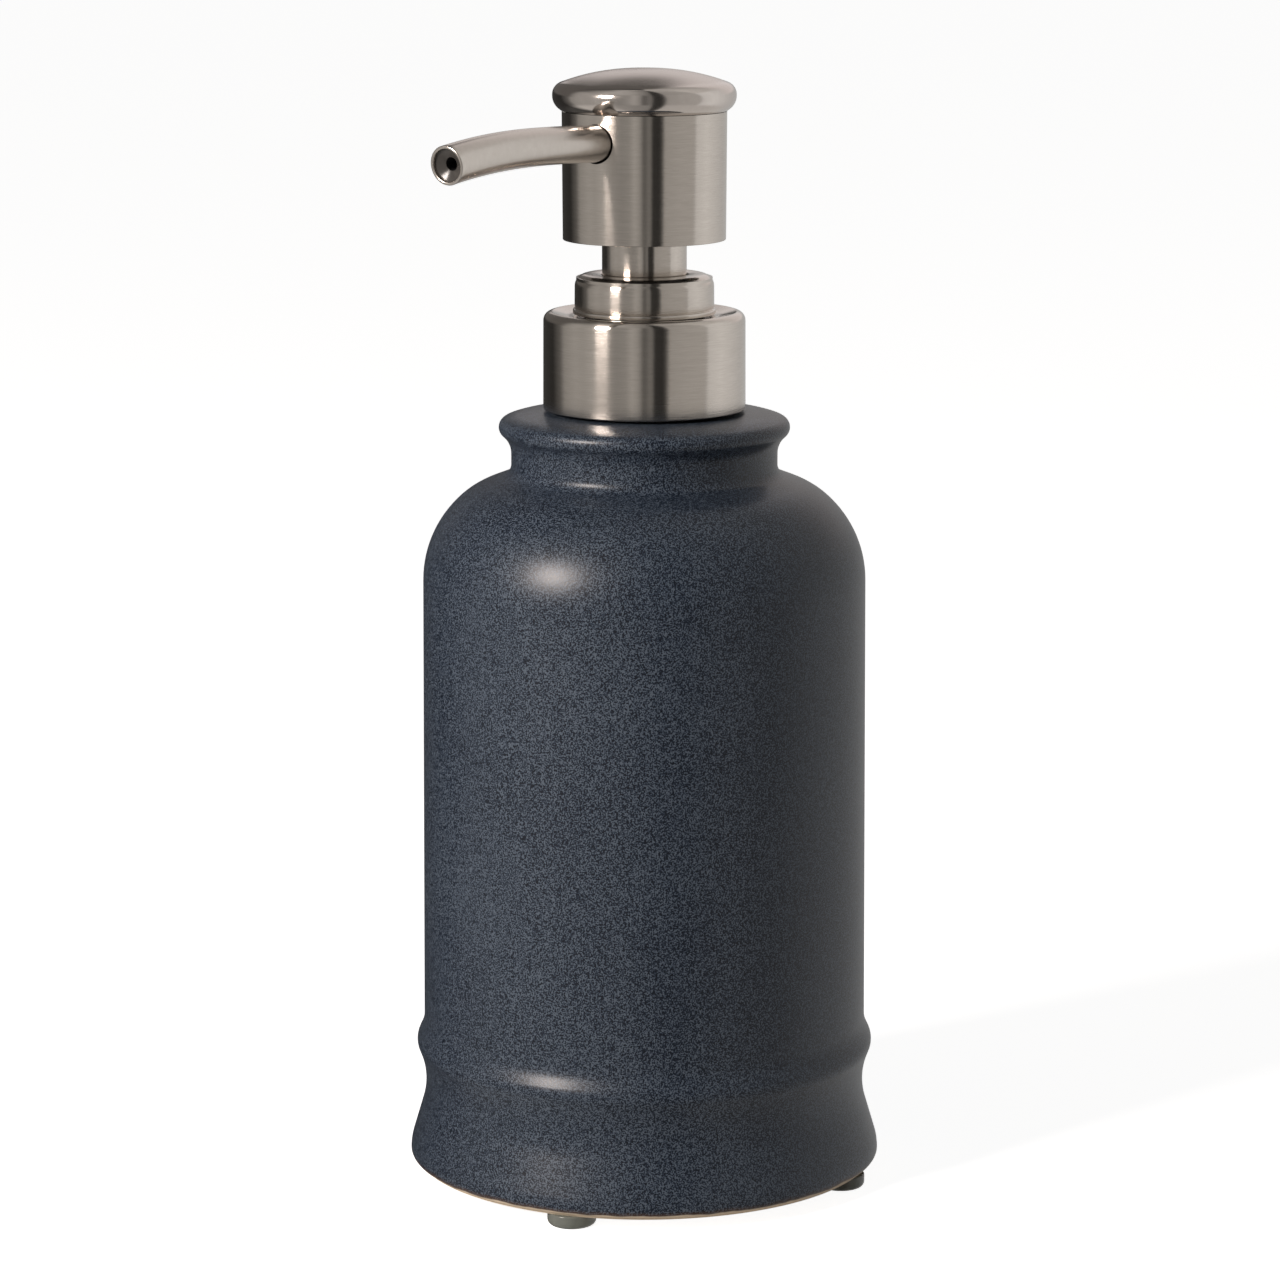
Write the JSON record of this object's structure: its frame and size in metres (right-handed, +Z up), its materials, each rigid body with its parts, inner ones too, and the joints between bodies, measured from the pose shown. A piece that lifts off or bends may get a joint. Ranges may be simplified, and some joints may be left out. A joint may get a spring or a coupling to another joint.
{
  "type": "soap pump dispenser",
  "caption": "Ceramic liquid soap bottle with a flared foot and a screw-on metal lotion pump: pressing its domed head draws soap and the drooping spout swivels.",
  "frame": {"origin": "on the bottle's axis, on the surface that the foot pads stand on", "axes": "+Z up along the bottle's axis; the spout points along -Y; +X completes the right-handed frame"},
  "size_m": [0.078, 0.0907, 0.1824],
  "materials": {
    "ceramic": "satin speckled slate-blue glaze",
    "metal": "brushed warm nickel",
    "plastic": "moulded, natural white",
    "dark_plastic": "moulded, near black",
    "clear_tube": "milky translucent tube",
    "pad": "clear grey-green bumper pad",
    "seal": "soft seal",
    "steel": "bright drawn wire and ball"
  },
  "bodies": {
    "bottle": {"bottle": "ceramic", "neck_insert": "plastic", "foot_pad_1": "pad", "foot_pad_2": "pad", "foot_pad_3": "pad", "foot_pad_4": "pad"},
    "pump": {"pump_housing": "plastic", "flange_gasket": "seal", "stem_guide": "dark_plastic", "ring_shell": "metal", "valve_cage": "plastic", "spring": "steel", "dip_tube": "clear_tube"},
    "collar": {"closure": "dark_plastic", "collar_shell": "metal"},
    "plunger": {"piston": "seal"},
    "head": {"stem": "plastic", "stem_plug": "plastic", "head_core": "dark_plastic", "head_shell": "metal", "dome_cap": "metal", "cap_core": "dark_plastic", "neck_sleeve": "metal", "spout_tube": "metal", "spout_liner": "dark_plastic"},
    "inlet_ball": {"inlet_ball": "steel"}
  },
  "joints": [
    {"name": "pump_lift", "type": "slide", "parent": "bottle", "child": "pump", "axis": [0, 0, 1], "range_m": [0, 0.135]},
    {"name": "collar_turn", "type": "hinge", "parent": "pump", "child": "collar", "pos_m": [0, 0, 0.135], "axis": [0, 0, 1], "range_deg": [0, 450]},
    {"name": "pump_press", "type": "slide", "parent": "pump", "child": "plunger", "axis": [0, 0, -1], "range_m": [0, 0.011], "stiffness_N_per_m": 600, "springref_m": -0.006, "deforming": ["spring"]},
    {"name": "head_swivel", "type": "hinge", "parent": "plunger", "child": "head", "pos_m": [0, 0, 0.16], "axis": [0, 0, 1], "continuous": true},
    {"name": "inlet_valve", "type": "slide", "parent": "pump", "child": "inlet_ball", "axis": [0, 0, 1], "range_m": [0, 0.0015]}
  ]
}
